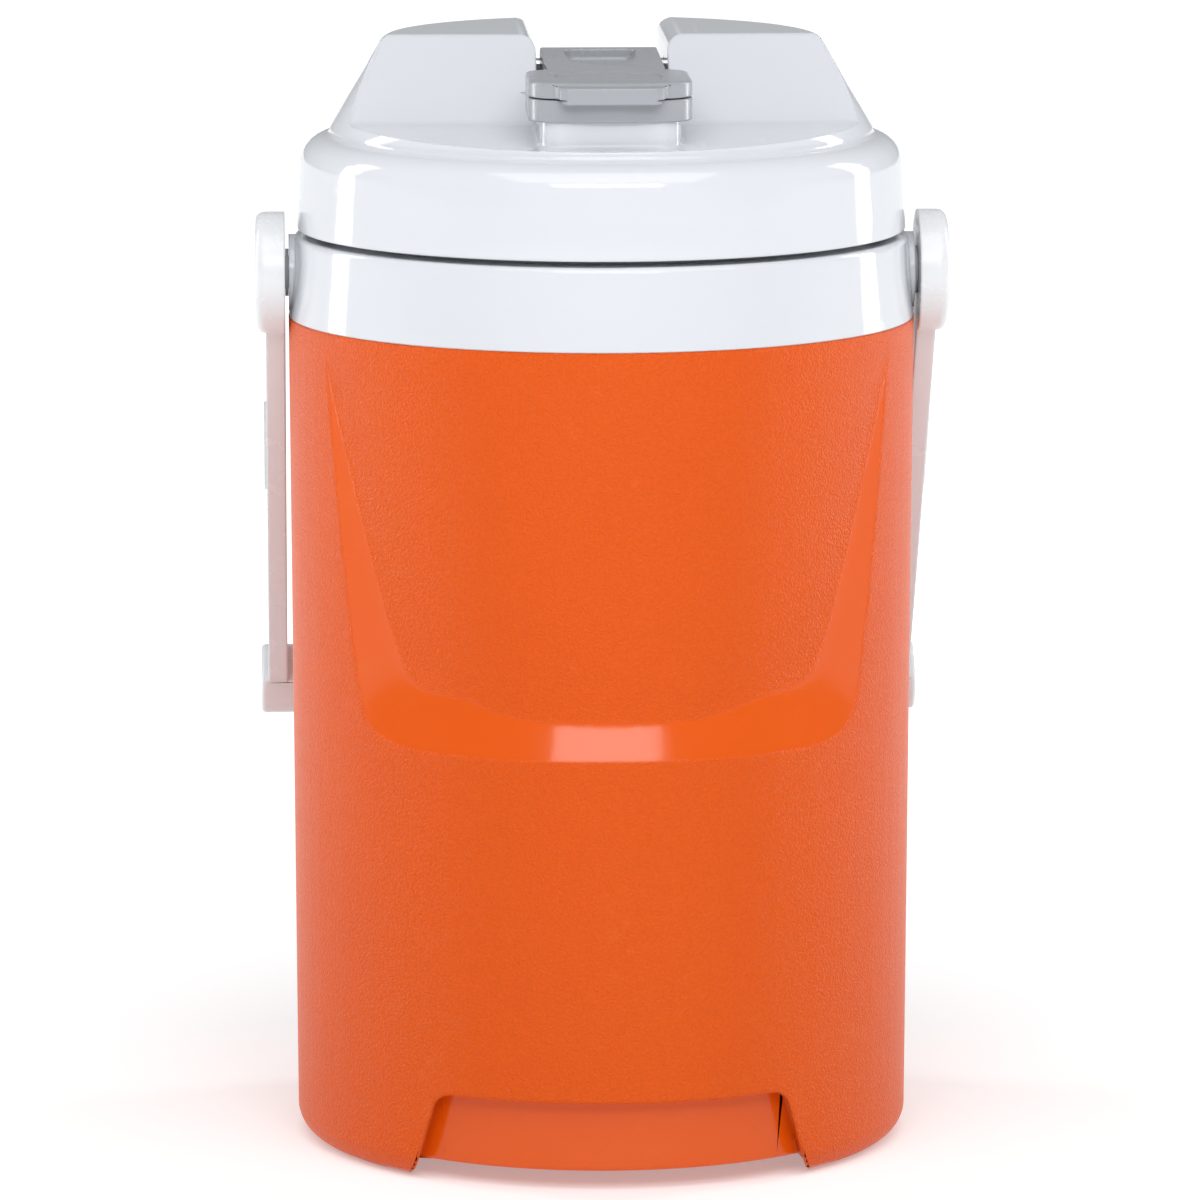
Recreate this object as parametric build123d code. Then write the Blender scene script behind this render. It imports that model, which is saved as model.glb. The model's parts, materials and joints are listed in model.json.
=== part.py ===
"""Half-gallon insulated drinks jug: screw lid with a flip-top drinking spout, and a bail handle.

Millimetres, +Z up, the spout at the front (-Y). The origin is the middle of the base, on the
surface that the jug stands on.
"""

from build123d import *
from math import acos, asin, atan2, cos, degrees, hypot, pi, radians, sin
import os

# ---- fits ----
running_gap = 0.05  # radial gap of a turning fit
part_gap = 0.3  # gap between bodies that only pass each other
seat_gap = 0.1  # gap between a soft seal and the rim it closes on

# ---- jug body ----
body_radius = 76.0  # at the top edge of the coloured shell
body_taper = 1.3  # how much smaller the radius is at the foot
shell_top = 202.2
shell_wall = 2.4
base_round = 7.0
foot_height = 4.7  # the underside is raised this much inside the foot ring
foot_ring_width = 16.0
foot_ring_slope = 2.0
plug_radius = 8.0
plug_flange = 3.0
plug_flange_thick = 1.2

# front panel: a shallow scoop with a sloping band along its sides and lower edge
panel_depth = 4.3  # at its lower edge
panel_mid_depth = 3.1
panel_run_out = 0.3  # how far past the shell the panel's curve ends, so that it fades out
panel_top_down = 1.2  # of the panel's upper end below the shell's top
panel_mid_down = 47.2
panel_low_down = 88.0
band_fall = 9.8  # height of the sloping band under the panel
side_azimuth = 34.0  # direction that the two flat side bands face
side_lean = 0.060  # how fast the side bands close in with height
band_edge_round = 3.0

# cut-out in the front of the foot
toe_height = 22.0
toe_half_top = 41.5
toe_half_low = 47.5
toe_depth = 5.7
toe_round = 4.0

# ---- collar and neck ----
collar_height = 19.8
collar_taper = 1.6
collar_wall = 2.6
collar_flange = 3.0
collar_skirt = 5.0  # how far the collar reaches down inside the shell
collar_inset = 0.1  # the collar stands this much inside the shell's top edge
collar_edge_round = 1.2
collar_shelf = 2.0  # thickness of the collar's step onto the shell
neck_inset = 10.0  # of the neck's outside from the shell's
neck_wall = 3.4
neck_height = 14.0  # above the collar's flange

# ---- tank ----
liner_wall = 2.0
liner_bottom = 30.0  # inside face of the tank's floor
liner_draw = 8.5  # how much smaller the tank's floor is than its mouth
liner_corner = 10.0
liner_straight = 24.0  # straight stretch below the rim
rim_thick = 2.0
rim_round = 0.8

# ---- lid thread: three short starts ----
thread_lead = 18.0
thread_starts = 3
ridge_span = 96.0
ridge_height = 2.4
ridge_depth = 1.5
ridge_low = 6.0  # middle of a ridge's lower end above the collar's flange
lug_span = 14.0
lug_offset = 9.0  # angle of a lug's middle past the ridge's lower end, lid closed
lug_gap = 0.6  # between a lug's crest and the neck
thread_gap = 1.1  # between a ridge's crest and the lid's inner skirt
flank_gap = 0.35
ridge_root = 0.5  # how deep a ridge is rooted in its wall

# ---- lid ----
lid_gap = 1.4  # open line between collar and lid
lid_inset = 2.1  # of the lid's skirt from the shell's outside
lid_taper = 1.3
lid_skirt = 22.8
lid_shoulder = 7.0
lid_wall = 2.2
dome_inset = 8.1  # of the dome's foot from the skirt
dome_step = 1.8
dome_height = 23.8
dome_draw = 13.1  # how much smaller the dome is at its top
dome_round = 3.0
slope_top = 1.8  # Y of the front slope's upper edge
slope_foot = -20.0  # Y of its lower edge
slope_round = 3.0
slope_foot_round = 5.0
slope_wall = 1.4  # thickness of the slope's wall along Y, as a share of the lid's wall
apron_height = 4.1  # of the slope's foot above the lid's deck
apron_fall = 2.1  # from there to the front edge
liner_skirt_lift = 0.9  # of the inner skirt's lower edge above the lid's
liner_plate = 2.3
gasket_thick = 2.5
gasket_width = 4.8
gasket_round = 0.8

# ---- spout tower, mouth and notch ----
tower_half = 16.7
tower_ahead = 16.0  # of the tower's front from the mouth's middle
tower_back = -8.0
tower_round = 6.0
base_fillet = 1.2  # around the foot of the tower and of the dome
tower_top = 10.8  # above the lid's deck
notch_drop = 1.2  # the notch's floor lies this much below the tower's top
notch_shoulder = 0.8  # on each side of the notch, inside the tower's width
notch_flare = 4.0
mouth_y = -44.0
mouth_bore = 8.5
mouth_wall = 2.0
mouth_rise = 4.2  # of the mouth's rim above the tower
mouth_flange = 3.0
mouth_flange_thick = 1.1
mouth_round = 0.7
mouth_seal = 0.7

# ---- flip cap ----
cap_side_reach = 2.7  # of the cap and its ring past the tower
cap_front_reach = 2.0
cap_behind = 18.0  # of the cap's back from the mouth's middle
cap_arch = 3.0
cap_round = 8.5
cap_back_round = 6.5
cap_edge_round = 0.8
ring_drop = 2.3  # the fixed ring reaches this far below the tower's top
ring_rise = 3.0
cap_thick = 3.8
cap_roof = 1.5
pocket_gap = 3.1  # between the mouth and the wall of the cap's pocket
tab_half = 12.3
tab_reach = 4.0  # past the cap's front
tab_flare = 3.0
tab_flare_round = 2.0
tab_root = 6.0  # how far the tab runs back under the cap's edge
lip_inset = 0.5
tab_thick = 4.0
tab_sink = 0.8  # the tab's top below the cap's
tab_chamfer = 1.6
strap_gap = 1.65  # between the strap and the notch's side
strap_thick = 3.0
strap_lap = 4.0  # how far the strap runs into the cap's head
strap_bend = 9.0  # where the strap's underside turns down to the knuckle
strap_bend_round = 4.0
knuckle_y = 17.5
knuckle_radius = 4.1
knuckle_rise = 4.2  # of the hinge pin above the tower's top
cap_pin_radius = 1.5
scoop_half = 8.6
scoop_front = -14.6
scoop_back = 14.5
scoop_depth = 3.0
scoop_corner = 2.5
scoop_floor_round = 1.0
dish_radius = 12.6
dish_behind = 1.0  # of the dish's middle from the mouth's
dish_depth = 0.5
cap_plug_depth = 1.6
cap_plug_gap = 0.2

# ---- bail handle ----
pivot_above_shell = 10.3
boss_wall = 5.3  # around the stud
boss_inset = 0.1  # of the boss's face from the shell's outside
boss_reach = 9.0  # length of the stud's hole behind the boss face
washer_width = 1.75
washer_thick = 0.8
washer_gap = 0.05
hub_radius = 14.75
hub_thick = 7.2
hub_edge_round = 2.4
arm_thick = 4.8
arm_hub_width = 19.0
arm_end_width = 13.0
arm_length = 142.5
arm_hang = 0.8  # the grip rests this share of the arm's length below the pivot
grip_along = 12.4
grip_across = 18.0
grip_round = 5.0
grip_end_round = 1.2
grip_overhang = 1.9
grip_rest_gap = 0.4
arm_pad = 0.7
arm_pad_width = 7.0
arm_pad_from = 46.0
arm_pad_to = 72.0
stud_radius = 4.0
stud_head_width = 3.4
stud_head_thick = 1.6
head_gap = 0.6  # around the stud's head
hub_web = 4.0
hub_cap_thick = 1.4

# ---- levels and radii worked out from the values above ----
foot_ring_inner = body_radius - foot_ring_width
panel_low = shell_top - panel_low_down
panel_mid = shell_top - panel_mid_down
panel_high = shell_top - panel_top_down
side_distance = body_radius - panel_depth  # of a side band from the axis, at the panel's low edge
pivot_z = shell_top + pivot_above_shell
collar_top = shell_top + collar_height
neck_radius = body_radius - neck_inset
neck_top = collar_top + neck_height
rim_top = neck_top + rim_thick
liner_top_radius = neck_radius - neck_wall - seat_gap - liner_wall
liner_bottom_radius = liner_top_radius - liner_draw
liner_skirt_radius = neck_radius + ridge_depth + thread_gap
lid_radius = body_radius - lid_inset
dome_radius = lid_radius - dome_inset
dome_top_radius = dome_radius - dome_draw
gasket_low = rim_top + seat_gap
plate_low = gasket_low + gasket_thick + seat_gap
plate_top = plate_low + liner_plate
lid_low = collar_top + lid_gap
lid_deck = lid_low + lid_skirt
dome_top = lid_deck + dome_height
tower_z = lid_deck + tower_top
tower_front = mouth_y - tower_ahead
notch_half = tower_half - notch_shoulder
mouth_radius = mouth_bore + mouth_wall
ring_low = tower_z - ring_drop
ring_top = tower_z + ring_rise
mouth_top = tower_z + mouth_rise
cap_low = ring_top + part_gap
cap_top = cap_low + cap_thick
cap_half = tower_half + cap_side_reach
cap_front = tower_front - cap_front_reach
cap_back = mouth_y + cap_behind
cap_pocket = mouth_radius + pocket_gap
tab_front = cap_front - tab_reach
strap_half = notch_half - strap_gap
knuckle_z = tower_z + knuckle_rise
boss_radius = stud_radius + boss_wall
boss_face = body_radius - boss_inset
washer_radius = stud_radius + washer_width
stud_head_radius = stud_radius + stud_head_width
hub_inner = boss_face + washer_thick + 2 * washer_gap
hub_outer = hub_inner + hub_thick
arm_outer = hub_inner + arm_thick


# ---- drawing helpers ----
def outline(*corners):
    """A closed flat face. A corner is (u, v), or (u, v, radius) where it is rounded."""
    face = make_face(Polyline(*[corner[:2] for corner in corners], close=True))
    for corner in corners:
        if len(corner) == 3:
            vertex = face.vertices().sort_by_distance((corner[0], corner[1], 0))[0]
            face = fillet(vertex, corner[2])
    return face


def turned(*corners):
    """A solid of revolution about Z from an outline of (radius, height) corners."""
    return revolve(Plane.XZ * outline(*corners), Axis.Z)


def across(face, x_low, x_high):
    """Extrude a (y, z) outline along X."""
    return extrude(Plane.YZ.offset(x_low) * face, x_high - x_low)


def upward(face, z_low, z_high):
    """Extrude an (x, y) outline along Z."""
    return extrude(Plane.XY.offset(z_low) * face, z_high - z_low)


def rod_x(y, z, radius, x_low, x_high):
    """A cylinder along X."""
    return across(Pos(y, z) * Circle(radius), x_low, x_high)


def tube_z(y, radius, z_low, z_high):
    """A cylinder along Z on the jug's middle plane."""
    return upward(Pos(0, y) * Circle(radius), z_low, z_high)


def both_sides(shape):
    """The shape and its mirror image on the other side of the jug."""
    return [shape, mirror(shape, Plane.YZ)]


def shell_radius(z):
    """Outer radius of the coloured shell at a height."""
    return body_radius - body_taper * (shell_top - z) / shell_top


# ---- jug body ----
def panel_cut(inset):
    """What the front panel takes away, for a surface that lies inset inside the outer one."""
    low = body_radius - panel_depth - inset
    middle = body_radius - panel_mid_depth - inset
    high = body_radius + panel_run_out - inset
    band = (panel_depth - body_taper / 2) / band_fall
    outside = 2 * body_radius
    curve = ThreePointArc((low, panel_low), (middle, panel_mid), (high, panel_high))
    edge = Polyline(
        (high, panel_high),
        (outside, panel_high),
        (outside, panel_low - (outside - low) / band),
        (low, panel_low),
    )
    scoop = revolve(Plane.XZ * make_face([curve, edge]), Axis.Z)
    return scoop & loft([side_bands(panel_low - 40, inset), side_bands(panel_high + 5, inset)])


def side_bands(z, inset):
    """Plan of the space in front of the two flat side bands at a height."""
    distance = side_distance - inset - side_lean * (z - panel_low)
    facing = radians(side_azimuth)
    foot = Vector(sin(facing), -cos(facing)) * distance
    far = foot + Vector(cos(facing), sin(facing)) * body_radius
    front = -2 * body_radius
    points = [
        (-foot.X, foot.Y),
        (-far.X, far.Y),
        (-far.X, front),
        (far.X, front),
        (far.X, far.Y),
        (foot.X, foot.Y),
    ]
    return Plane.XY.offset(z) * make_face(Polyline(*points, close=True))


def band_edges(scooped):
    """The outer edges of the panel's three bands."""
    band_low = panel_low - band_fall
    side_z = (panel_low + panel_high) / 2
    distance = side_distance - side_lean * (side_z - panel_low)
    side = radians(side_azimuth) + acos(distance / shell_radius(side_z))
    side_point = Vector(sin(side), -cos(side)) * shell_radius(side_z)
    places = [
        (0, -body_radius, band_low),
        (side_point.X, side_point.Y, side_z),
        (-side_point.X, side_point.Y, side_z),
    ]
    return [scooped.edges().sort_by_distance(place)[0] for place in places]


def toe_cut(inset):
    """What the cut-out in the front of the foot takes away."""
    slope = (toe_half_low - toe_half_top) / toe_height
    high = toe_height + inset
    half_top = toe_half_top + inset
    half_low = toe_half_low + inset + slope
    face = outline(
        (-half_low, -1), (-half_top, high, toe_round), (half_top, high, toe_round), (half_low, -1)
    )
    front = extrude(Plane.XZ * face, 2 * body_radius)
    panel = body_radius - toe_depth - inset
    ring = turned((panel, -2), (2 * body_radius, -2), (2 * body_radius, high + 1), (panel, high + 1))
    under = Pos(0, 0, foot_height / 2 - 1) * Box(4 * body_radius, 4 * body_radius, foot_height + 2)
    return front & (ring + under)


def make_outer_shell():
    foot = shell_radius(0)
    outer = turned(
        (0, foot_height),
        (foot_ring_inner - foot_ring_slope, foot_height),
        (foot_ring_inner, 0),
        (foot, 0, base_round),
        (body_radius, shell_top),
        (0, shell_top),
    )
    scooped = outer - panel_cut(0)
    scooped = fillet(band_edges(scooped), band_edge_round)
    shell = scooped - toe_cut(0) - foam_space()
    return shell - tube_z(0, plug_radius, 0, foot_height + shell_wall)


def foam_space():
    """The inside of the coloured shell."""
    floor = foot_height + shell_wall
    space = turned(
        (0, floor),
        (shell_radius(floor) - shell_wall, floor, base_round),
        (body_radius - shell_wall, shell_top),
        (0, shell_top),
    )
    return space - panel_cut(shell_wall) - toe_cut(shell_wall)


def liner_outer():
    """Outside of the tank below its rim."""
    low = liner_bottom - liner_wall
    return turned(
        (0, low),
        (liner_bottom_radius + liner_wall, low, liner_corner + liner_wall),
        (liner_top_radius + liner_wall, neck_top - liner_straight),
        (liner_top_radius + liner_wall, neck_top),
        (0, neck_top),
    )


def make_inner_liner():
    rim = turned((0, neck_top), (neck_radius, neck_top), (neck_radius, rim_top, rim_round), (0, rim_top))
    inside = turned(
        (0, liner_bottom),
        (liner_bottom_radius, liner_bottom, liner_corner),
        (liner_top_radius, neck_top - liner_straight),
        (liner_top_radius, rim_top + 1),
        (0, rim_top + 1),
    )
    return liner_outer() + rim - inside


def make_collar_ring():
    flange_low = collar_top - collar_flange
    skirt_outer = body_radius - shell_wall - seat_gap
    skirt_inner = skirt_outer - collar_wall
    top_radius = body_radius - collar_taper
    inner = top_radius - collar_wall
    neck_inner = neck_radius - neck_wall
    ring = turned(
        (skirt_inner, shell_top - collar_skirt),
        (skirt_outer, shell_top - collar_skirt),
        (skirt_outer, shell_top),
        (body_radius - collar_inset, shell_top),
        (top_radius, collar_top, collar_edge_round),
        (neck_radius, collar_top),
        (neck_radius, neck_top),
        (neck_inner, neck_top),
        (neck_inner, flange_low),
        (inner, flange_low),
        (inner, shell_top + collar_shelf),
        (skirt_inner, shell_top),
    )
    boss = rod_x(0, pivot_z, boss_radius, boss_face - boss_reach, boss_face)
    stud_hole = rod_x(0, pivot_z, stud_radius, boss_face - boss_reach, boss_face + 1)
    for side in both_sides(boss):
        ring += side
    for side in both_sides(stud_hole):
        ring -= side
    for start in range(thread_starts):
        ring += thread_ridge(start)
    return ring


def helical_bar(root, crest, span, z_middle, angle):
    """A ridge of trapezoid section along the lid thread's helix, from one angle over a span."""
    path = Helix(thread_lead, thread_lead * span / 360, (root + crest) / 2)
    half = (crest - root) / 2
    wide = ridge_height / 2
    narrow = ridge_height / 4
    section = make_face(
        Polyline((-half, -wide), (half, -narrow), (half, narrow), (-half, wide), close=True)
    )
    frame = Plane(origin=path @ 0, x_dir=(1, 0, 0), z_dir=path % 0)
    return Rot(0, 0, angle) * Pos(0, 0, z_middle) * sweep(frame * section, path, is_frenet=True)


def thread_ridge(start):
    """One of the neck's ridges. It rises in the direction that undoes the lid."""
    angle = start * 360 / thread_starts
    crest = neck_radius + ridge_depth
    return helical_bar(
        neck_radius - ridge_root, crest, ridge_span, collar_top + ridge_low, angle
    )


def make_body_foam():
    """Foam that fills the shell around the tank, up to the underside of the collar's flange."""
    inner = body_radius - collar_taper - collar_wall
    upper = turned(
        (0, shell_top), (inner, shell_top), (inner, collar_top - collar_flange),
        (0, collar_top - collar_flange),
    )
    return foam_space() + upper - liner_outer() - make_collar_ring() - stud_rods()


def stud_rods():
    """The studs' shanks, both sides, from their inner ends to under their heads."""
    shank = rod_x(0, pivot_z, stud_radius, boss_face - boss_reach, hub_inner + hub_web + washer_gap)
    left, right = both_sides(shank)
    return left + right


def make_base_plug():
    """Plug that closes the hole through which the foam was poured."""
    stem = tube_z(0, plug_radius, foot_height, foot_height + shell_wall)
    flange = tube_z(0, plug_radius + plug_flange, foot_height - plug_flange_thick, foot_height)
    return stem + flange


# ---- bail handle and its pivots ----
def make_pivot_studs():
    head_low = hub_inner + hub_web + washer_gap
    head = rod_x(0, pivot_z, stud_head_radius, head_low, head_low + stud_head_thick)
    left, right = both_sides(head)
    return stud_rods() + left + right


def make_pivot_washers():
    low = boss_face + washer_gap
    washer = rod_x(0, pivot_z, washer_radius, low, low + washer_thick)
    washer -= rod_x(0, pivot_z, stud_radius + running_gap, low - 1, low + washer_thick + 1)
    left, right = both_sides(washer)
    return left + right


def handle_lean():
    """Angle of the hanging handle from the vertical, with its grip against the back of the jug."""
    reach_arm = arm_length - (grip_along / 2 - grip_round)
    reach_side = grip_across / 2 - grip_round
    hang = pivot_z - arm_length * arm_hang
    stand_off = shell_radius(hang) + grip_rest_gap + grip_round
    return degrees(asin(stand_off / hypot(reach_arm, reach_side)) + atan2(reach_side, reach_arm))


def hub_bore():
    """The stud's hole through a hub, with the recess for its head and cap."""
    bore = rod_x(0, pivot_z, stud_radius + running_gap, hub_inner - 1, hub_outer)
    recess = rod_x(0, pivot_z, stud_head_radius + head_gap, hub_inner + hub_web, hub_outer + 1)
    return bore + recess


def make_bail_handle():
    """Drawn hanging straight down from the pivot, then swung back to its rest."""
    hub = rod_x(0, 0, hub_radius, hub_inner, hub_outer)
    hub = fillet(hub.edges().group_by(Axis.X)[-1], hub_edge_round)
    arm = across(
        outline(
            (-arm_hub_width / 2, 0),
            (arm_hub_width / 2, 0),
            (arm_end_width / 2, -arm_length),
            (-arm_end_width / 2, -arm_length),
        ),
        hub_inner,
        arm_outer,
    )
    pad_middle = -(arm_pad_from + arm_pad_to) / 2
    pad = across(
        Pos(0, pad_middle) * RectangleRounded(arm_pad_width, arm_pad_to - arm_pad_from, 2),
        arm_outer,
        arm_outer + arm_pad,
    )
    side = hub + arm + pad
    grip_end = arm_outer + grip_overhang
    section = Pos(0, -arm_length) * RectangleRounded(grip_across, grip_along, grip_round)
    grip = across(section, -grip_end, grip_end)
    ends = grip.edges().group_by(Axis.X)
    grip = fillet(ends[0] + ends[-1], grip_end_round)
    left, right = both_sides(side)
    handle = Pos(0, 0, pivot_z) * Rot(handle_lean(), 0, 0) * (grip + left + right)
    for bore in both_sides(hub_bore()):
        handle -= bore
    return handle


def make_hub_caps():
    radius = stud_head_radius + head_gap
    cap = rod_x(0, pivot_z, radius, hub_outer - hub_cap_thick, hub_outer)
    left, right = both_sides(cap)
    return left + right


# ---- lid ----
def dome_front_cut(inset):
    """The space over the lid's front slope and apron."""
    front = -2 * lid_radius
    foot_z = lid_deck + apron_height - inset
    front_z = lid_deck + apron_height - apron_fall - inset
    shift = inset * slope_wall
    fall = (foot_z - front_z) / (slope_foot + dome_radius)
    return across(
        outline(
            (front, foot_z - fall * (slope_foot - front)),
            (slope_foot + shift / 2, foot_z, slope_foot_round),
            (slope_top + shift / 2, dome_top - inset, slope_round),
            (slope_top + 4 * slope_round, dome_top - inset),
            (slope_top + 4 * slope_round, dome_top + 20),
            (front, dome_top + 20),
        ),
        -2 * lid_radius,
        2 * lid_radius,
    )


def notch_cut(inset):
    """The channel for the cap's strap, from the front slope out at the back."""
    half = notch_half + inset
    flare = notch_flare
    top = dome_top - inset
    floor = tower_z - notch_drop - inset
    right = [(half, floor), (half, top - flare)]
    arc_mid = (half + flare * (1 - cos(pi / 4)), top - flare * (1 - sin(pi / 4)))
    curve_right = ThreePointArc(right[1], arc_mid, (half + flare, top))
    curve_left = ThreePointArc((-half - flare, top), (-arc_mid[0], arc_mid[1]), (-half, top - flare))
    over = Polyline((half + flare, top), (half + flare, top + 20), (-half - flare, top + 20),
                    (-half - flare, top))
    under = Polyline((-half, top - flare), (-half, floor), (half, floor), (half, top - flare))
    face = make_face([under, curve_right, over, curve_left])
    back = 2 * lid_radius
    return extrude(Plane.XZ.offset(-back) * face, back - cap_back)


def tower(inset):
    half = tower_half - inset
    return upward(
        outline(
            (-half, tower_back),
            (-half, tower_front + inset, tower_round - inset),
            (half, tower_front + inset, tower_round - inset),
            (half, tower_back),
        ),
        lid_deck - 1,
        tower_z - inset,
    )


def lid_form(inset, low):
    """The lid's outside, or its inside where inset is the wall."""
    skirt = turned(
        (0, low),
        (lid_radius - inset, low),
        (lid_radius - lid_taper - inset, lid_deck - inset, lid_shoulder - inset),
        (0, lid_deck - inset),
    )
    dome = turned(
        (0, lid_deck - lid_wall - 1),
        (dome_radius - inset, lid_deck - lid_wall - 1),
        (dome_radius - inset, lid_deck + dome_step - inset / 2),
        (dome_top_radius - inset, dome_top - inset, dome_round - inset / 2),
        (0, dome_top - inset),
    )
    return skirt + (dome - dome_front_cut(inset)) + tower(inset) - notch_cut(inset)


def cap_pin_rod(radius, half):
    return rod_x(knuckle_y, knuckle_z, radius, -half, half)


def lid_base_edges(form):
    """The edges where the dome and the spout tower rise from the surfaces around them."""
    apron_front = lid_deck + apron_height - apron_fall
    apron_back = lid_deck + apron_height
    places = [(0, dome_radius, lid_deck), (0, tower_front, apron_front)]
    for side in (-tower_half, tower_half):
        places += [
            (side, tower_front + tower_round, apron_front),
            (side, (tower_front + slope_foot) / 2, apron_back),
            (side, slope_foot, apron_back),
        ]
    return [form.edges().sort_by_distance(place)[0] for place in places]


def make_lid_shell():
    outside = lid_form(0, lid_low)
    outside = fillet(lid_base_edges(outside), base_fillet)
    shell = outside - lid_form(lid_wall, lid_low - 1)
    shell -= tube_z(mouth_y, mouth_radius, tower_z - 2 * lid_wall, tower_z + 1)
    return shell - cap_pin_rod(cap_pin_radius, notch_half + lid_wall)


def make_lid_liner():
    """Inner moulding of the lid: a plate over the tank, and a skirt with the thread's lugs."""
    low = lid_low + liner_skirt_lift
    wide = lid_radius
    plate = turned((0, plate_low), (wide, plate_low), (wide, plate_top), (0, plate_top))
    skirt = turned(
        (liner_skirt_radius, low), (wide, low), (wide, plate_low), (liner_skirt_radius, plate_low)
    )
    liner = (plate + skirt) & lid_form(lid_wall, lid_low - 1)
    liner -= tube_z(mouth_y, mouth_radius, plate_low - 1, plate_top + 1)
    for start in range(thread_starts):
        liner += thread_lug(start)
    return liner


def thread_lug(start):
    """A lug of the lid, just under a ridge of the neck."""
    angle = start * 360 / thread_starts + lug_offset - lug_span / 2
    ridge_middle = collar_top + ridge_low + thread_lead * (lug_offset - lug_span / 2) / 360
    below = ridge_middle - ridge_height - flank_gap
    crest = neck_radius + lug_gap
    return helical_bar(liner_skirt_radius + ridge_root, crest, lug_span, below, angle)


def make_lid_foam():
    foam = lid_form(lid_wall, lid_low - 1)
    foam &= upward(Circle(lid_radius), plate_top, dome_top)
    foam -= tube_z(mouth_y, mouth_radius, plate_low, tower_z)
    return foam


def make_lid_gasket():
    middle = (liner_top_radius + neck_radius) / 2
    inner = middle - gasket_width / 2
    outer = middle + gasket_width / 2
    high = gasket_low + gasket_thick
    return turned((inner, gasket_low), (outer, gasket_low, gasket_round), (outer, high), (inner, high))


# ---- spout ----
def make_spout_tube():
    flange_top = plate_low - mouth_seal
    tube = tube_z(mouth_y, mouth_radius, flange_top - mouth_flange_thick, mouth_top)
    flange = tube_z(mouth_y, mouth_radius + mouth_flange, flange_top - mouth_flange_thick, flange_top)
    bore = tube_z(mouth_y, mouth_bore, flange_top - mouth_flange_thick - 1, mouth_top + 1)
    tube = tube + flange - bore
    rim = tube.edges().filter_by(GeomType.CIRCLE).group_by(Axis.Z)[-1]
    return fillet(rim, mouth_round)


def make_spout_seal():
    low = plate_low - mouth_seal
    seal = tube_z(mouth_y, mouth_radius + mouth_flange, low, plate_low)
    return seal - tube_z(mouth_y, mouth_radius, low - 1, plate_low + 1)


def cap_plan():
    """Plan of the cap and of the fixed ring under it, with a slightly bowed front."""
    corner = cap_front + cap_arch
    front = ThreePointArc((-cap_half, corner), (0, cap_front), (cap_half, corner))
    rest = Polyline((cap_half, corner), (cap_half, cap_back), (-cap_half, cap_back),
                    (-cap_half, corner))
    face = make_face([front, rest])
    front_corners = face.vertices().group_by(Axis.Y)[0]
    face = fillet(front_corners, cap_round)
    return fillet(face.vertices().group_by(Axis.Y)[-1], cap_back_round)


def make_spout_ring():
    ring = upward(cap_plan(), ring_low, ring_top)
    pocket = upward(
        outline(
            (-tower_half, 0), (-tower_half, tower_front, tower_round),
            (tower_half, tower_front, tower_round), (tower_half, 0),
        ),
        ring_low - 1,
        tower_z,
    )
    return ring - pocket - tube_z(mouth_y, mouth_radius, tower_z - 1, ring_top + 1)


# ---- flip cap ----
def make_flip_cap():
    head = upward(cap_plan(), cap_low, cap_top)
    head = fillet(head.faces().sort_by(Axis.Z)[-1].edges(), cap_edge_round)
    tab_top = cap_top - tab_sink
    root = cap_front + part_gap / 2 - cap_edge_round
    tab = upward(
        outline(
            (-tab_half - tab_flare, cap_front + tab_root),
            (-tab_half, root, tab_flare_round),
            (-tab_half, tab_front + tab_chamfer),
            (-tab_half + tab_chamfer, tab_front),
            (tab_half - tab_chamfer, tab_front),
            (tab_half, tab_front + tab_chamfer),
            (tab_half, root, tab_flare_round),
            (tab_half + tab_flare, cap_front + tab_root),
        ),
        cap_low,
        tab_top,
    )
    lip = upward(
        outline(
            (-tab_half + tab_chamfer, cap_front - part_gap),
            (-tab_half + lip_inset, tab_front + tab_chamfer),
            (-tab_half + lip_inset + tab_chamfer, tab_front),
            (tab_half - lip_inset - tab_chamfer, tab_front),
            (tab_half - lip_inset, tab_front + tab_chamfer),
            (tab_half - tab_chamfer, cap_front - part_gap),
        ),
        tab_top - tab_thick,
        cap_low,
    )
    strap_back = knuckle_z + knuckle_radius
    strap = across(
        outline(
            (knuckle_y, strap_back),
            (cap_back - strap_lap, cap_top),
            (cap_back - strap_lap, cap_top - strap_thick),
            (knuckle_y - strap_bend, cap_top - strap_thick, strap_bend_round),
            (knuckle_y, knuckle_z - knuckle_radius),
        ),
        -strap_half,
        strap_half,
    )
    knuckle = rod_x(knuckle_y, knuckle_z, knuckle_radius, -strap_half, strap_half)
    cap = head + tab + lip + strap + knuckle
    cap -= tube_z(mouth_y, cap_pocket, cap_low - 1, cap_top - cap_roof)
    cap -= scoop_cut() + tube_z(mouth_y + dish_behind, dish_radius, cap_top - dish_depth, cap_top + 3)
    return cap - cap_pin_rod(cap_pin_radius + running_gap, strap_half + 1)


def scoop_cut():
    """Finger scoop in the strap, deep at the back and running out at the front."""
    rise = (knuckle_z + knuckle_radius - cap_top) / (knuckle_y - cap_back + strap_lap)
    back_top = cap_top + rise * (scoop_back - cap_back + strap_lap)
    front_top = cap_top + rise * (scoop_front - cap_back + strap_lap)
    profile = outline(
        (scoop_back, back_top + 5),
        (scoop_back, back_top - scoop_depth, scoop_floor_round),
        (scoop_front, front_top),
        (scoop_front, front_top + 5),
    )
    scoop = across(profile, -scoop_half, scoop_half)
    return fillet(scoop.edges().filter_by(Axis.Z).group_by(Axis.Y)[-1], scoop_corner)


def make_cap_seal():
    """Soft disc in the cap that closes the mouth, with a shallow plug inside its bore."""
    roof = cap_top - cap_roof
    disc = tube_z(mouth_y, cap_pocket, mouth_top + seat_gap, roof)
    plug = tube_z(mouth_y, mouth_bore - cap_plug_gap, mouth_top - cap_plug_depth, roof)
    return disc + plug


def make_cap_hinge_pin():
    return cap_pin_rod(cap_pin_radius, notch_half + lid_wall)


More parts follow.
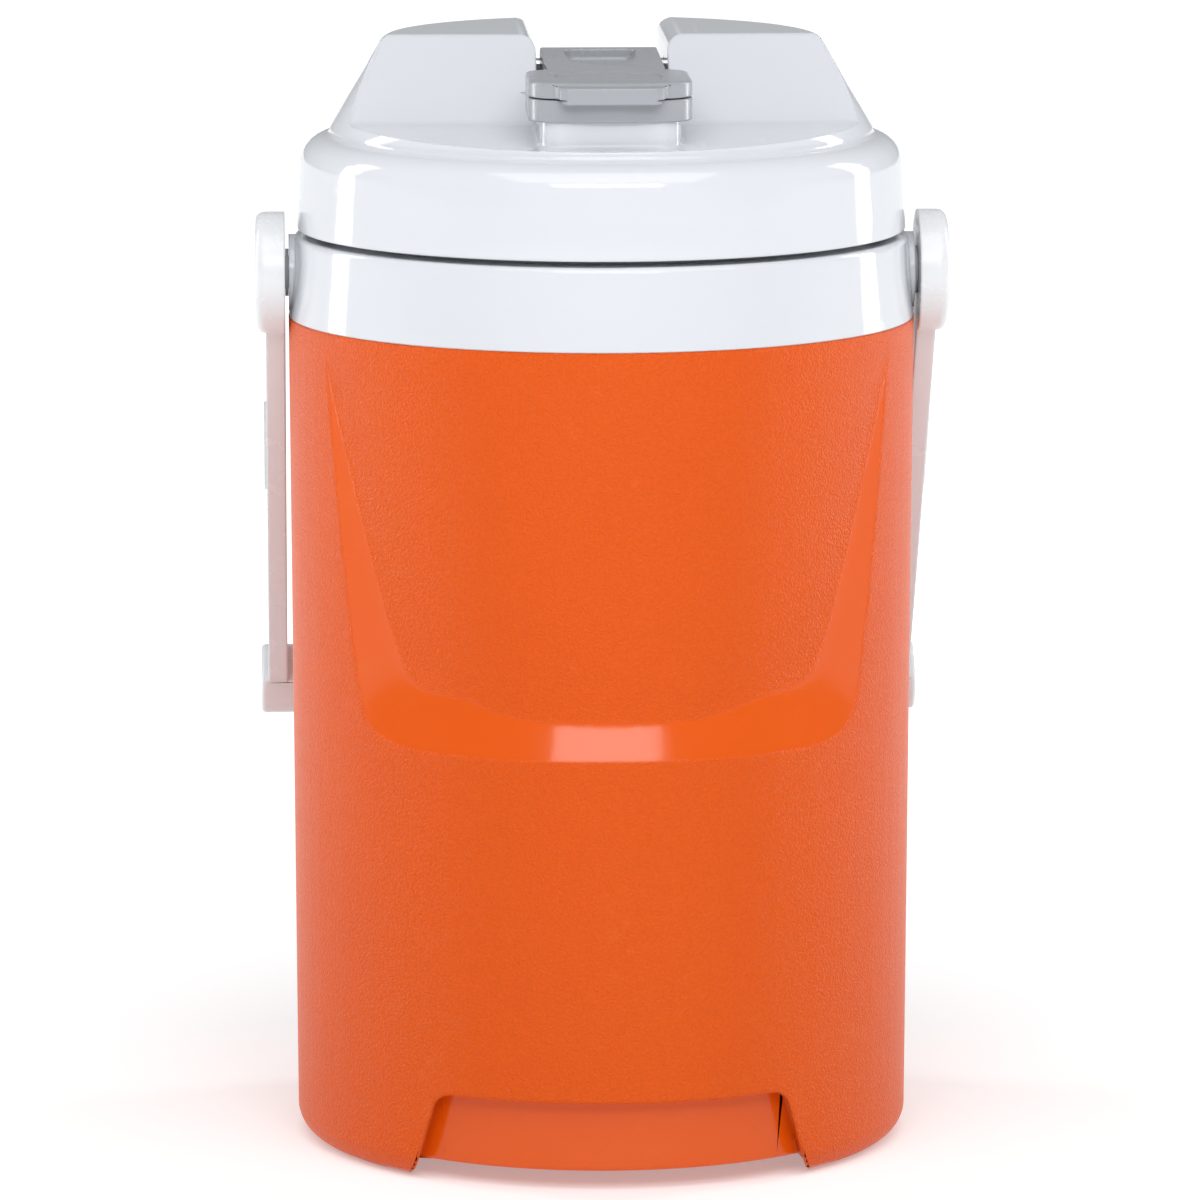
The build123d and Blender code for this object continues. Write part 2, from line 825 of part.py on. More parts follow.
pieces = {
    "outer_shell": make_outer_shell,
    "body_foam": make_body_foam,
    "inner_liner": make_inner_liner,
    "collar_ring": make_collar_ring,
    "base_plug": make_base_plug,
    "pivot_studs": make_pivot_studs,
    "pivot_washers": make_pivot_washers,
    "bail_handle": make_bail_handle,
    "hub_caps": make_hub_caps,
    "lid_shell": make_lid_shell,
    "lid_foam": make_lid_foam,
    "lid_liner": make_lid_liner,
    "lid_gasket": make_lid_gasket,
    "spout_tube": make_spout_tube,
    "spout_seal": make_spout_seal,
    "spout_ring": make_spout_ring,
    "cap_hinge_pin": make_cap_hinge_pin,
    "flip_cap": make_flip_cap,
    "cap_seal": make_cap_seal,
}

os.makedirs("parts", exist_ok=True)
for name, make in pieces.items():
    export_step(make(), f"parts/{name}.step")
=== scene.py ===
"""Looks for the insulated drinks jug: moulded-plastic materials, studio light and camera."""

import json
import math

import bmesh
import bpy
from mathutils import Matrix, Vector


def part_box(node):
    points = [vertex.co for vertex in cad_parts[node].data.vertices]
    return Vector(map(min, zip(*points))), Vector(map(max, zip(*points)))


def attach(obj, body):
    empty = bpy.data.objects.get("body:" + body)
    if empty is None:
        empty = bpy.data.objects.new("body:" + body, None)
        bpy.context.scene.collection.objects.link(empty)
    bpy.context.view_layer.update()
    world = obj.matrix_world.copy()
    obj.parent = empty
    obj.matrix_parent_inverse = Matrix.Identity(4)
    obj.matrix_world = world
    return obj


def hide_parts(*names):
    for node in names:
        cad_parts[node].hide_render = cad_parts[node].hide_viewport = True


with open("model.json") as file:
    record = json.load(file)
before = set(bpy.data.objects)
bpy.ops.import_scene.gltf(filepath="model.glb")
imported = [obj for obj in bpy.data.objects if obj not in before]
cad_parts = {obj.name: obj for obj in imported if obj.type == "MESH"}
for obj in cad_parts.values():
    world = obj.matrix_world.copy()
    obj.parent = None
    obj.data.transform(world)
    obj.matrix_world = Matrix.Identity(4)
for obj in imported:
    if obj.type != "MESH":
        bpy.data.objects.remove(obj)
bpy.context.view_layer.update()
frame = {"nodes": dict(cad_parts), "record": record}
nodes = frame["nodes"]
slots = {part["node"]: part["material_slot"] for part in frame["record"]["subparts"]}
body_of = {
    name: body for body, names in frame["record"]["behaviour"]["bodies"].items() for name in names
}

# ---- the view ----
camera_distance = 1.9
camera_height = 0.442
camera_turn = math.radians(2.3)
aim_height = 0.1314
lens_mm = 236.0
sensor_mm = 36.0
sideways_shift = -0.001

# ---- the shell's front panel, as the shell's own sizes give it (metres) ----
shell_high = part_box("outer_shell")[1]
shell_top = shell_high[2]
top_radius = shell_high[0]
shell_taper = 0.0013
panel_depth = 0.0043
panel_mid_depth = 0.0031
panel_top_proud = 0.0003  # how far the panel's arc has run past the skin at its upper end
panel_low = shell_top - 0.0880
panel_mid = shell_top - 0.0472
panel_high = shell_top - 0.0012
band_fall = 0.0098
band_low = panel_low - band_fall
side_facing = math.radians(34)
side_lean = 0.060
corner_blend = 0.0046  # how softly the side bands run into the lower one
inner_blend = 0.0007
outer_blend = 0.0003
net_side = math.radians(66)  # how far round the fine net over the front reaches
net_below = 0.006  # how far it reaches below the lower band
net_row = 0.0015
net_column = math.radians(1.5)
net_off_skin = 0.0016  # how far from the softened scoop a face may lie and still be in the net
no_band = -0.01  # what the band's attributes hold away from the front

# ---- the cut-out in the foot ----
toe_top = 0.0222
toe_radius = top_radius - 0.0035
toe_edge_top = 0.0235
toe_edge_front = -0.040
toe_edge_radius = top_radius - 0.0085
toe_edge_width = 0.0009

# ---- the lid ----
lid_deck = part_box("lid_shell")[1][2] - 0.0238
dome_edges_above = 0.0085
skirt_edges_below = 0.015

# ---- merging and rounding ----
same_place = 2e-6
nearly_flat = math.radians(0.2)
sharp_edge = math.radians(28)
round_steps = 3
shaded_smooth = math.radians(35)

# ---- colours, as linear red, green and blue ----
pale_dust = (0.62, 0.60, 0.57, 1)
warm_dust = (0.62, 0.50, 0.42, 1)
orange_deep, orange_light = (0.655, 0.079, 0.0018, 1), (0.705, 0.096, 0.0026, 1)
# The first colour below is a darker orange painted into the grain's pits as shade. The second is
# the lighter colour of rubbed wear.
orange_pit_shade, orange_rubs = (0.56, 0.058, 0.002, 1), (0.80, 0.24, 0.08, 1)
foam_pores, foam_walls = (0.60, 0.50, 0.28, 1), (0.80, 0.72, 0.48, 1)
silicone_deep, silicone_light = (0.60, 0.62, 0.63, 1), (0.70, 0.72, 0.73, 1)
steel_deep, steel_light = (0.50, 0.50, 0.52, 1), (0.66, 0.66, 0.68, 1)

# ---- the studio ----
floor_size = 40.0
floor_grey = (0.75, 0.75, 0.75, 1)
# The floor glows less near the jug than far off: a painted shadow round the jug's foot.
floor_glow_under_painted_shadow, floor_glow_far = 0.30, 0.80
painted_shadow_core, painted_shadow_reach = 0.10, 0.75  # metres from the jug's middle; nearer in, the dimmer glow is a painted shadow
sky_colour = (0.96, 0.98, 1.0, 1)
sky_strength = 0.36
lights_aim = (0, 0, 0.14)
view_reach = 50.0


# ---- node helpers ----
class Tree:
    """Adds and joins nodes in one node tree."""

    def __init__(self, tree):
        self.tree = tree

    def add(self, kind, **settings):
        node = self.tree.nodes.new(kind)
        for name, value in settings.items():
            setattr(node, name, value)
        return node

    def join(self, source, target):
        self.tree.links.new(source, target)

    def put(self, value, socket):
        """Joins an output to a socket, or sets the socket's own value."""
        if isinstance(value, bpy.types.NodeSocket):
            self.join(value, socket)
        else:
            socket.default_value = value

    def math(self, operation, first, second=0.0, third=0.0, clamp=False):
        node = self.add("ShaderNodeMath", operation=operation, use_clamp=clamp)
        for socket, value in zip(node.inputs, (first, second, third)):
            self.put(value, socket)
        return node.outputs[0]

    def step(self, value, low, high):
        """0 below low and 1 above high, smooth between."""
        node = self.add("ShaderNodeMapRange", interpolation_type="SMOOTHSTEP")
        self.put(value, node.inputs["Value"])
        self.put(low, node.inputs["From Min"])
        self.put(high, node.inputs["From Max"])
        return node.outputs["Result"]

    def spread(self, value, low, high):
        """Spreads 0 to 1 over low to high."""
        node = self.add("ShaderNodeMapRange")
        self.put(value, node.inputs["Value"])
        self.put(low, node.inputs["To Min"])
        self.put(high, node.inputs["To Max"])
        return node.outputs["Result"]

    def mix(self, share, first, second):
        node = self.add("ShaderNodeMix", data_type="RGBA")
        self.put(share, node.inputs["Factor"])
        self.put(first, node.inputs[6])
        self.put(second, node.inputs[7])
        return node.outputs[2]

    def noise(self, scale, detail=2.0, roughness=0.5):
        place = self.add("ShaderNodeTexCoord")
        node = self.add("ShaderNodeTexNoise")
        self.join(place.outputs["Object"], node.inputs["Vector"])
        self.put(scale, node.inputs["Scale"])
        self.put(detail, node.inputs["Detail"])
        self.put(roughness, node.inputs["Roughness"])
        return node.outputs["Fac"]


def new_group(name, inputs, outputs):
    """A shader node group with float inputs {name: default} and outputs {name: socket type}."""
    group = bpy.data.node_groups.new(name, "ShaderNodeTree")
    for label, default in inputs.items():
        socket = group.interface.new_socket(label, in_out="INPUT", socket_type="NodeSocketFloat")
        socket.default_value = default
    for label, kind in outputs.items():
        group.interface.new_socket(label, in_out="OUTPUT", socket_type=kind)
    tree = Tree(group)
    return tree, tree.add("NodeGroupInput").outputs, tree.add("NodeGroupOutput").inputs


def pebble_grain_group():
    """The leather-like grain of the mould: rounded pebbles with fine pits between them."""
    tree, given, out = new_group(
        "pebble_grain", {"Cells per metre": 1500.0}, {"Height": "NodeSocketFloat"}
    )
    place = tree.add("ShaderNodeTexCoord").outputs["Object"]
    warp = tree.add("ShaderNodeTexNoise")
    tree.join(place, warp.inputs["Vector"])
    tree.join(tree.math("MULTIPLY", given[0], 0.6), warp.inputs["Scale"])
    shift = tree.add("ShaderNodeVectorMath", operation="MULTIPLY_ADD")
    tree.join(warp.outputs["Color"], shift.inputs[0])
    shift.inputs[1].default_value = (0.0012, 0.0012, 0.0012)
    tree.join(place, shift.inputs[2])
    cells = tree.add("ShaderNodeTexVoronoi", feature="SMOOTH_F1")
    tree.join(shift.outputs[0], cells.inputs["Vector"])
    tree.join(given[0], cells.inputs["Scale"])
    cells.inputs["Smoothness"].default_value = 0.6
    pebbles = tree.step(cells.outputs["Distance"], 0.75, 0.1)
    fine = tree.noise(tree.math("MULTIPLY", given[0], 3.1), 2.0)
    tree.join(tree.math("MULTIPLY_ADD", fine, 0.25, pebbles), out["Height"])
    return tree.tree


def handling_group():
    """Marks of use: soft cloudy variation, and sparse fine rubs that dull a gloss."""
    tree, given, out = new_group(
        "handling",
        {"Cloud scale": 14.0, "Rub scale": 260.0, "Rub share": 0.3},
        {"Cloud": "NodeSocketFloat", "Rubs": "NodeSocketFloat"},
    )
    tree.join(tree.noise(given["Cloud scale"], 3.0, 0.55), out["Cloud"])
    place = tree.add("ShaderNodeTexCoord").outputs["Object"]
    stretch = tree.add("ShaderNodeMapping")
    tree.join(place, stretch.inputs["Vector"])
    stretch.inputs["Rotation"].default_value = (0.5, 0.9, 0.3)
    stretch.inputs["Scale"].default_value = (1.0, 0.12, 1.0)
    rubs = tree.add("ShaderNodeTexNoise")
    tree.join(stretch.outputs["Vector"], rubs.inputs["Vector"])
    tree.join(given["Rub scale"], rubs.inputs["Scale"])
    rubs.inputs["Detail"].default_value = 4.0
    patches = tree.noise(tree.math("MULTIPLY", given["Cloud scale"], 2.3), 2.0)
    lines = tree.step(rubs.outputs["Fac"], 0.56, 0.72)
    sparse = tree.step(patches, 0.45, 0.7)
    both = tree.math("MULTIPLY", lines, sparse)
    tree.join(tree.math("MULTIPLY", both, given["Rub share"]), out["Rubs"])
    return tree.tree


def soft_edge_group():
    """Edges as a mould leaves them: a small round that catches the light."""
    tree, given, out = new_group(
        "soft_edge", {"Radius": 0.0005}, {"Normal": "NodeSocketVector"}
    )
    bevel = tree.add("ShaderNodeBevel", samples=6)
    tree.join(given["Radius"], bevel.inputs["Radius"])
    tree.join(bevel.outputs["Normal"], out["Normal"])
    return tree.tree


def dust_group():
    """Fine dust that settles on what faces up."""
    tree, given, out = new_group(
        "settled_dust", {"Amount": 0.15}, {"Dust": "NodeSocketFloat"}
    )
    facing = tree.add("ShaderNodeNewGeometry").outputs["Normal"]
    split = tree.add("ShaderNodeSeparateXYZ")
    tree.join(facing, split.inputs[0])
    up = tree.step(split.outputs["Z"], 0.3, 1.0)
    speckle = tree.step(tree.noise(420.0, 5.0, 0.7), 0.48, 0.75)
    tree.join(
        tree.math("MULTIPLY", tree.math("MULTIPLY", up, speckle), given["Amount"]), out["Dust"]
    )
    return tree.tree


grain_group = pebble_grain_group()
handling = handling_group()
soft_edge = soft_edge_group()
dust = dust_group()


def place_group(tree, group, **values):
    """Places a group with its own values. An underline in a label stands for a space."""
    node = tree.add("ShaderNodeGroup", node_tree=group)
    for label, value in values.items():
        node.inputs[label.replace("_", " ")].default_value = value
    return node.outputs


def new_material(name):
    material = bpy.data.materials.new(name)
    material.use_nodes = True
    tree = Tree(material.node_tree)
    return material, tree, material.node_tree.nodes["Principled BSDF"].inputs


def moulded(name, colour, rough, cloud_shift, dust_amount, edge, peel=0.02):
    """A moulded plastic: slight colour clouds, rubbed gloss, dust and a faint orange peel."""
    material, tree, shader = new_material(name)
    marks = place_group(tree, handling, Rub_share=0.35)
    dusty = place_group(tree, dust, Amount=dust_amount)
    deep = [c * (1 - cloud_shift) for c in colour] + [1]
    light = [min(1, c * (1 + cloud_shift)) for c in colour] + [1]
    base = tree.mix(marks["Cloud"], deep, light)
    base = tree.mix(dusty["Dust"], base, pale_dust)
    tree.join(base, shader["Base Color"])
    cloudy = tree.spread(marks["Cloud"], rough * 0.85, rough * 1.15)
    rubbed = tree.math("ADD", cloudy, tree.math("MULTIPLY", marks["Rubs"], 0.5))
    tree.join(tree.math("ADD", rubbed, tree.math("MULTIPLY", dusty["Dust"], 0.6), clamp=True),
              shader["Roughness"])
    bump = tree.add("ShaderNodeBump")
    bump.inputs["Strength"].default_value = peel
    bump.inputs["Distance"].default_value = 0.001
    tree.join(tree.noise(190.0, 1.0), bump.inputs["Height"])
    tree.join(place_group(tree, soft_edge, Radius=edge)["Normal"], bump.inputs["Normal"])
    tree.join(bump.outputs["Normal"], shader["Normal"])
    return material


def smooth_share(tree):
    """1 on the shell's satin bands and in the cut-out of the foot, 0 on its grained skin."""
    sides = []
    for name in ("over_panel", "under_skin"):
        read = tree.add("ShaderNodeAttribute", attribute_name=name)
        sides.append(tree.step(read.outputs["Fac"], 0.0, 0.00035))
    band = tree.math("MULTIPLY", *sides)
    place = tree.add("ShaderNodeSeparateXYZ")
    tree.join(tree.add("ShaderNodeTexCoord").outputs["Object"], place.inputs[0])
    x, y, z = place.outputs
    radius = tree.math("SQRT", tree.math("MULTIPLY_ADD", x, x, tree.math("MULTIPLY", y, y)))
    toe = tree.math("MULTIPLY", tree.step(z, toe_top + 0.0006, toe_top - 0.0004),
                    tree.step(radius, toe_radius, toe_radius - 0.0008))
    toe = tree.math("MULTIPLY", toe, tree.step(y, -0.045, -0.048))
    return tree.math("MAXIMUM", band, toe)


def grained_orange():
    """The shell: saturated orange, pebble grain all over but for the satin bands, with the grain's
    pits painted darker as shade.
    """
    material, tree, shader = new_material("orange_shell")
    satin = smooth_share(tree)
    grain = place_group(tree, grain_group, Cells_per_metre=1700.0)["Height"]
    marks = place_group(tree, handling, Cloud_scale=11.0, Rub_scale=180.0, Rub_share=0.25)
    dusty = place_group(tree, dust, Amount=0.08)
    skin = tree.math("SUBTRACT", 1.0, satin)
    base = tree.mix(marks["Cloud"], orange_deep, orange_light)
    # The grain's pits on the skin are painted darker: painted shade in the hollows of the grain.
    pits = tree.math("MULTIPLY", tree.step(grain, 0.45, 0.1), tree.math("MULTIPLY", skin, 0.22))
    base = tree.mix(pits, base, orange_pit_shade)
    base = tree.mix(tree.math("MULTIPLY", marks["Rubs"], 0.3), base, orange_rubs)
    base = tree.mix(dusty["Dust"], base, warm_dust)
    tree.join(base, shader["Base Color"])
    rough = tree.spread(satin, 0.40, 0.19)
    rough = tree.math("MULTIPLY_ADD", tree.math("MULTIPLY", grain, skin), -0.06, rough)
    tree.join(tree.math("MULTIPLY_ADD", marks["Rubs"], 0.25, rough), shader["Roughness"])
    bump = tree.add("ShaderNodeBump")
    bump.inputs["Strength"].default_value = 0.55
    bump.inputs["Distance"].default_value = 0.0004
    tree.join(tree.math("MULTIPLY", grain, skin), bump.inputs["Height"])
    tree.join(place_group(tree, soft_edge, Radius=0.0012)["Normal"], bump.inputs["Normal"])
    tree.join(bump.outputs["Normal"], shader["Normal"])
    shader["Specular IOR Level"].default_value = 0.18
    tree.join(tree.math("MULTIPLY", satin, 0.4), shader["Coat Weight"])
    shader["Coat Roughness"].default_value = 0.12
    return material


def poured_foam():
    """Cut insulating foam: pale, matt and finely pored."""
    material, tree, shader = new_material("poured_foam")
    pores = tree.step(tree.noise(900.0, 3.0, 0.6), 0.35, 0.65)
    tree.join(tree.mix(pores, foam_pores, foam_walls), shader["Base Color"])
    shader["Roughness"].default_value = 0.9
    bump = tree.add("ShaderNodeBump")
    bump.inputs["Distance"].default_value = 0.0006
    tree.join(pores, bump.inputs["Height"])
    tree.join(bump.outputs["Normal"], shader["Normal"])
    return material


def soft_silicone():
    """Milky seal rubber with a dry, slightly cloudy skin."""
    material, tree, shader = new_material("soft_silicone")
    cloud = tree.noise(60.0, 3.0)
    tree.join(tree.mix(cloud, silicone_deep, silicone_light), shader["Base Color"])
    tree.join(tree.spread(cloud, 0.42, 0.58), shader["Roughness"])
    shader["Subsurface Weight"].default_value = 0.3
    shader["Subsurface Scale"].default_value = 0.003
    return material


def drawn_steel():
    """Stainless pin with fine lines along its length."""
    material, tree, shader = new_material("drawn_steel")
    place = tree.add("ShaderNodeTexCoord").outputs["Object"]
    stretch = tree.add("ShaderNodeMapping")
    tree.join(place, stretch.inputs["Vector"])
    stretch.inputs["Scale"].default_value = (0.02, 1.0, 1.0)
    lines = tree.add("ShaderNodeTexNoise")
    tree.join(stretch.outputs["Vector"], lines.inputs["Vector"])
    lines.inputs["Scale"].default_value = 3000.0
    tone = lines.outputs["Fac"]
    tree.join(tree.mix(tone, steel_deep, steel_light), shader["Base Color"])
    tree.join(tree.spread(tone, 0.2, 0.38), shader["Roughness"])
    shader["Metallic"].default_value = 1.0
    return material


finishes = {
    "orange_shell": grained_orange(),
    "white_plastic": moulded("gloss_white", (0.625, 0.645, 0.68), rough=0.07,
                             cloud_shift=0.012, dust_amount=0.02, edge=0.0007),
    "liner_white": moulded("liner_white", (0.74, 0.75, 0.75), rough=0.36,
                           cloud_shift=0.015, dust_amount=0.0, edge=0.0005, peel=0.05),
    "grey_plastic": moulded("cap_grey", (0.315, 0.328, 0.352), rough=0.24,
                            cloud_shift=0.02, dust_amount=0.06, edge=0.0005),
    "washer_grey": moulded("washer_natural", (0.66, 0.67, 0.68), rough=0.4,
                           cloud_shift=0.02, dust_amount=0.0, edge=0.0003),
    "plug_orange": moulded("plug_orange", (0.72, 0.095, 0.003), rough=0.4,
                           cloud_shift=0.03, dust_amount=0.0, edge=0.0004),
    "foam": poured_foam(),
    "silicone": soft_silicone(),
    "pin_steel": drawn_steel(),
}
handle_white = moulded("satin_white", (0.68, 0.69, 0.705), rough=0.27,
                       cloud_shift=0.012, dust_amount=0.02, edge=0.0008, peel=0.04)


# ---- pieces shaped from the frame's own ----
def alone(piece):
    bpy.ops.object.select_all(action="DESELECT")
    piece.select_set(True)
    bpy.context.view_layer.objects.active = piece


def merged_copy(node_name, piece_name):
    """A new piece with a node's mesh, its triangles merged into whole faces."""
    node = nodes[node_name]
    piece = bpy.data.objects.new(piece_name, node.data.copy())
    bpy.context.scene.collection.objects.link(piece)
    alone(piece)
    if piece.data.has_custom_normals:
        bpy.ops.mesh.customdata_custom_splitnormals_clear()
    bpy.ops.object.mode_set(mode="EDIT")
    bpy.ops.mesh.select_all(action="SELECT")
    bpy.ops.mesh.remove_doubles(threshold=same_place)
    bpy.ops.mesh.dissolve_limited(angle_limit=nearly_flat, delimit=set())
    bpy.ops.object.mode_set(mode="OBJECT")
    return piece


def round_edges(piece, width, chosen=None):
    """Rounds the sharp edges that chosen(middle) picks, or all of them."""
    mesh = bmesh.new()
    mesh.from_mesh(piece.data)
    sharp = [
        edge.calc_face_angle(0) > sharp_edge
        and (chosen is None or chosen((edge.verts[0].co + edge.verts[1].co) / 2))
        for edge in mesh.edges
    ]
    mesh.free()
    alone(piece)
    bpy.ops.object.mode_set(mode="EDIT")
    bpy.ops.mesh.select_mode(type="EDGE")
    bpy.ops.mesh.select_all(action="DESELECT")
    bpy.ops.object.mode_set(mode="OBJECT")
    piece.data.edges.foreach_set("select", sharp)
    bpy.ops.object.mode_set(mode="EDIT")
    bpy.ops.mesh.bevel(
        offset=width, segments=round_steps, affect="EDGES", clamp_overlap=False
    )
    bpy.ops.object.mode_set(mode="OBJECT")
    bpy.ops.object.shade_smooth_by_angle(angle=shaded_smooth)
    weigh = piece.modifiers.new("flat_faces_lead", "WEIGHTED_NORMAL")
    weigh.keep_sharp = True
    bpy.ops.object.modifier_apply(modifier=weigh.name)


def stands_for(piece, node_name, material):
    """The piece takes the node's place, body and slot."""
    piece.data.materials.clear()
    piece.data.materials.append(material)
    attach(piece, body_of[node_name])
    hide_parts(node_name)


def soft_max(first, second, blend):
    """The larger of the two, with a soft turn where they are within blend of each other."""
    overlap = max(blend - abs(first - second), 0.0)
    return max(first, second) + overlap * overlap / (4 * blend)


def skin_radius(z):
    """The shell's outer skin, which narrows a little towards the foot."""
    return top_radius - shell_taper * (shell_top - z) / shell_top


def panel_radius(z):
    """The panel's own surface: an arc through its lower edge, middle and upper end."""
    points = [
        (top_radius - panel_depth, panel_low),
        (top_radius - panel_mid_depth, panel_mid),
        (top_radius + panel_top_proud, panel_high),
    ]
    (r1, z1), (r2, z2), (r3, z3) = points
    share = 2 * (r1 * (z2 - z3) + r2 * (z3 - z1) + r3 * (z1 - z2))
    s1, s2, s3 = (r * r + h * h for r, h in points)
    middle_r = (s1 * (z2 - z3) + s2 * (z3 - z1) + s3 * (z1 - z2)) / share
    middle_z = (s1 * (r3 - r2) + s2 * (r1 - r3) + s3 * (r2 - r1)) / share
    reach = math.hypot(r1 - middle_r, z1 - middle_z)
    along = math.sqrt(max(reach * reach - (z - middle_z) ** 2, 0.0))
    return middle_r + (along if r1 > middle_r else -along)


def band_radius(azimuth, z):
    """The sloping bands round the panel: two flats at its sides, a cone below, run together.

    A flat draws back inwards of the way it faces, so that the cone has the middle to itself.
    """
    flat = top_radius - panel_depth - side_lean * (z - panel_low)
    turn = abs(azimuth) - side_facing
    side = flat / math.cos(turn) if turn > 0 else flat * math.cos(turn)
    slope = (panel_depth - shell_taper / 2) / band_fall
    below = top_radius - panel_depth + (panel_low - z) * slope
    return soft_max(side, below, corner_blend)


def scooped_radius(azimuth, z):
    """The front of the shell: its skin, the bands and the panel, with their edges softened."""
    scoop = soft_max(band_radius(azimuth, z), panel_radius(z), inner_blend)
    return -soft_max(-scoop, -skin_radius(z), outer_blend)


def make_shell_skin():
    """The coloured shell, with a fine net over its front so that the bands can run together."""
    piece = merged_copy("outer_shell", "shell_moulding")
    net_low, net_high = band_low - net_below, shell_top - 0.0004
    rows = round((net_high - net_low) / net_row)
    columns = round(2 * net_side / net_column)
    cuts = [((0, 0, net_low + (net_high - net_low) * n / rows), (0, 0, 1)) for n in range(rows + 1)]
    for n in range(columns + 1):
        turn = -net_side + 2 * net_side * n / columns
        cuts.append(((0, 0, 0), (math.cos(turn), math.sin(turn), 0)))
    alone(piece)
    for place, normal in cuts:
        bpy.ops.object.mode_set(mode="EDIT")
        bpy.ops.mesh.select_mode(type="FACE")
        bpy.ops.mesh.select_all(action="DESELECT")
        bpy.ops.object.mode_set(mode="OBJECT")
        for face in piece.data.polygons:
            face.select = in_net(face.center, net_low)
        bpy.ops.object.mode_set(mode="EDIT")
        bpy.ops.mesh.bisect(plane_co=place, plane_no=normal)
        bpy.ops.object.mode_set(mode="OBJECT")
    move_to_scoop(piece, net_low)
    round_edges(piece, toe_edge_width, on_toe_edge)
    return piece


def on_toe_edge(place):
    """Near the outer edges of the cut-out in the foot."""
    low_in_front = place.z < toe_edge_top and place.y < toe_edge_front
    return low_in_front and place.xy.length > toe_edge_radius


def in_net(place, low):
    """On the front of the shell's outer skin, above a height."""
    away = scooped_radius(math.atan2(place.x, -place.y), place.z) - place.xy.length
    return place.y < 0 and low - 0.001 < place.z < shell_top and abs(away) < net_off_skin


def move_to_scoop(piece, low):
    """Moves the net's corners in or out onto the softened scoop, and notes where the bands lie."""
    over_panel = piece.data.attributes.new("over_panel", "FLOAT", "POINT")
    under_skin = piece.data.attributes.new("under_skin", "FLOAT", "POINT")
    for number, vertex in enumerate(piece.data.vertices):
        place = vertex.co
        azimuth = math.atan2(place.x, -place.y)
        band = band_radius(azimuth, place.z)
        in_front = abs(azimuth) < net_side and place.z < panel_high - 0.002
        over_panel.data[number].value = band - panel_radius(place.z) if in_front else no_band
        under_skin.data[number].value = skin_radius(place.z) - band if in_front else no_band
        if in_net(place, low) and place.z > low + 0.0002 and place.z < shell_top - 0.0003:
            radius = scooped_radius(azimuth, place.z)
            stretch = radius / place.xy.length
            vertex.co = (place.x * stretch, place.y * stretch, place.z)


def on_dome_or_skirt(place):
    """The dome's upper edges and the skirt's lower one, clear of the lid's deck."""
    return place.z > lid_deck + dome_edges_above or place.z < lid_deck - skirt_edges_below


softened = {
    "lid_shell": ("lid_moulding", 0.0005, on_dome_or_skirt),
    "flip_cap": ("cap_moulding", 0.0004, None),
    "spout_ring": ("spout_collar", 0.0004, None),
    "bail_handle": ("bail_moulding", 0.0003, None),
    "hub_caps": ("hub_plugs", 0.0003, None),
}


def dress():
    """Every node gets its finish. Then the softened pieces take the place of their nodes."""
    for name, node in nodes.items():
        for slot in node.material_slots:
            slot.material = finish_of(name)
    for name, (piece_name, width, chosen) in softened.items():
        piece = merged_copy(name, piece_name)
        round_edges(piece, width, chosen)
        stands_for(piece, name, finish_of(name))
    stands_for(make_shell_skin(), "outer_shell", finish_of("outer_shell"))


def finish_of(name):
    """The finish of a node's slot, but satin for the handle and its covers."""
    if name in ("bail_handle", "hub_caps"):
        return handle_white
    return finishes[slots[name]]


# ---- studio ----
def add_camera():
    """A long lens in front, a little above, and slightly left of the middle."""
    data = bpy.data.cameras.new("view")
    data.lens = lens_mm
    data.sensor_width = sensor_mm
    data.shift_x = sideways_shift
    data.clip_end = view_reach
    camera = bpy.data.objects.new("view", data)
    camera.location = (
        -camera_distance * math.sin(camera_turn),
        -camera_distance * math.cos(camera_turn),
        camera_height,
    )
    point(camera, (0, 0, aim_height))
    bpy.context.scene.collection.objects.link(camera)
    bpy.context.scene.camera = camera


def point(thing, aim):
    look = Vector(aim) - Vector(thing.location)
    thing.rotation_euler = look.to_track_quat("-Z", "Y").to_euler()


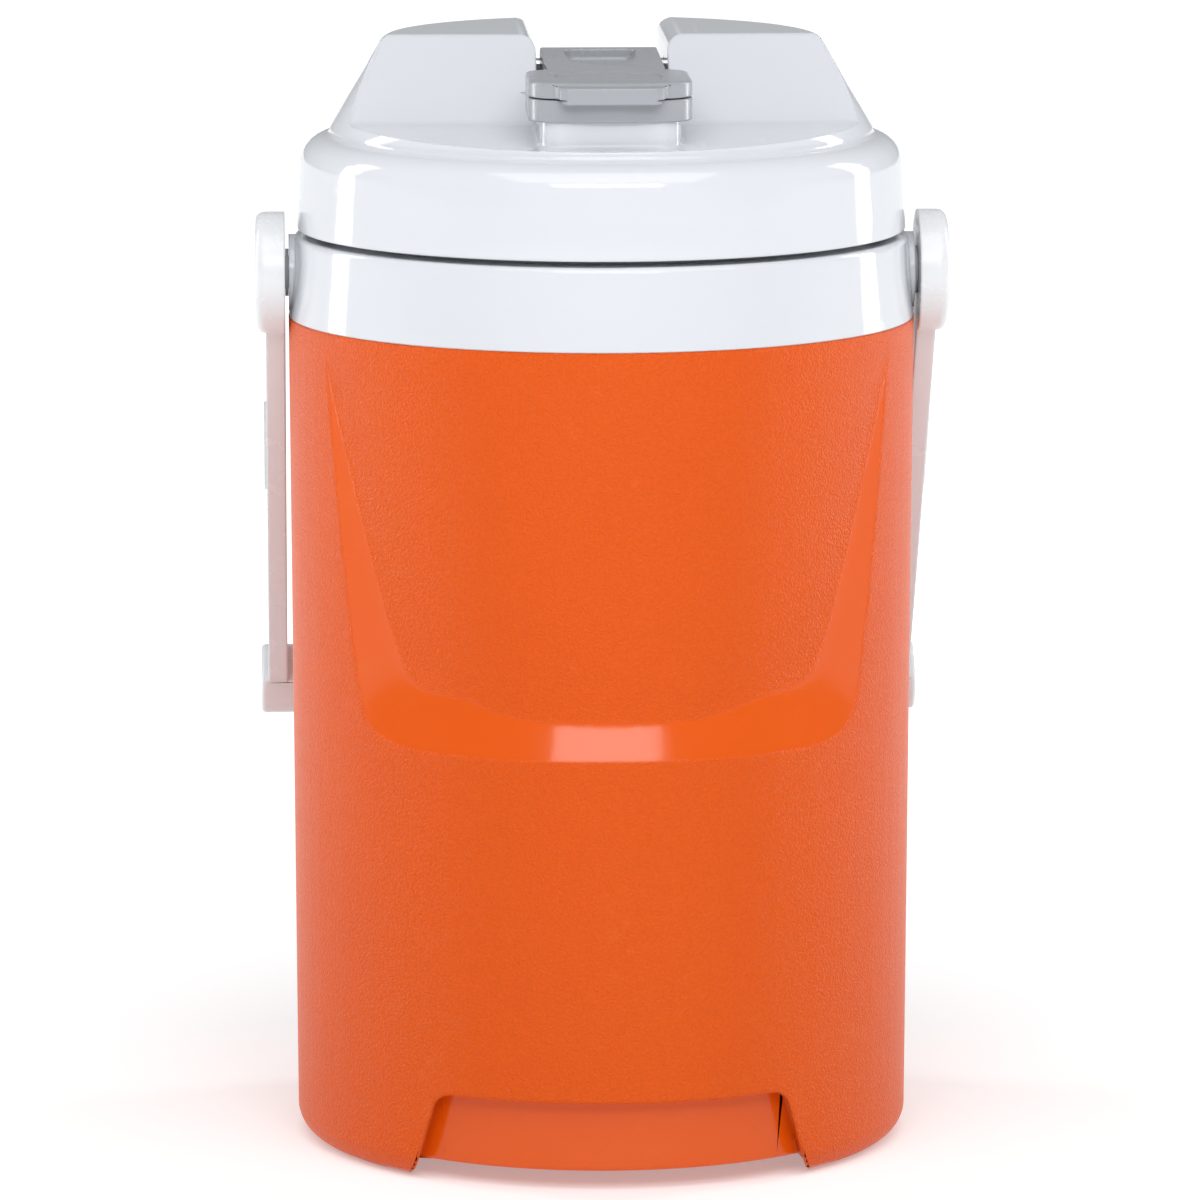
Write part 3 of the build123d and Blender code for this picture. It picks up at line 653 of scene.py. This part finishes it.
def add_softbox(name, azimuth, height, distance, size, watts):
    """A rectangular soft light. Azimuth 0 is in front, 90 at the right."""
    data = bpy.data.lights.new(name, "AREA")
    data.shape = "RECTANGLE"
    data.size, data.size_y = size
    data.energy = watts
    light = bpy.data.objects.new(name, data)
    turn = math.radians(azimuth)
    light.location = (distance * math.sin(turn), -distance * math.cos(turn), height)
    point(light, lights_aim)
    bpy.context.scene.collection.objects.link(light)


def add_floor():
    """A white floor that glows more with distance, so it ends nowhere. The dimmer glow near the jug
    is a painted shadow round its foot.
    """
    bpy.ops.object.select_all(action="DESELECT")
    bpy.ops.mesh.primitive_plane_add(size=floor_size)
    floor = bpy.context.object
    floor.name = "studio_floor"
    material, tree, shader = new_material("studio_white")
    shader["Base Color"].default_value = floor_grey
    shader["Roughness"].default_value = 0.9
    shader["Specular IOR Level"].default_value = 0.0
    shader["Emission Color"].default_value = (1, 1, 1, 1)
    place = tree.add("ShaderNodeTexCoord").outputs["Object"]
    away = tree.add("ShaderNodeVectorMath", operation="LENGTH")
    tree.join(place, away.inputs[0])
    # 0 near the jug, where the dimmer glow paints a shadow, and 1 far off.
    reach = tree.step(away.outputs["Value"], painted_shadow_core, painted_shadow_reach)
    tree.join(tree.spread(reach, floor_glow_under_painted_shadow, floor_glow_far), shader["Emission Strength"])
    floor.data.materials.append(material)


def add_world():
    world = bpy.data.worlds.new("studio")
    world.use_nodes = True
    background = world.node_tree.nodes["Background"].inputs
    background["Color"].default_value = sky_colour
    background["Strength"].default_value = sky_strength
    bpy.context.scene.world = world


dress()
add_camera()
add_world()
add_floor()
add_softbox("front_key", azimuth=0, height=0.95, distance=1.4, size=(1.1, 0.34), watts=7.5)
add_softbox("high_key", azimuth=0, height=1.50, distance=0.80, size=(1.8, 1.1), watts=15)
for side, azimuth in (("left_strip", -113), ("right_strip", 113)):
    add_softbox(side, azimuth, height=0.30, distance=1.2, size=(0.22, 1.3), watts=7.5)
bpy.context.scene.view_settings.view_transform = "Standard"
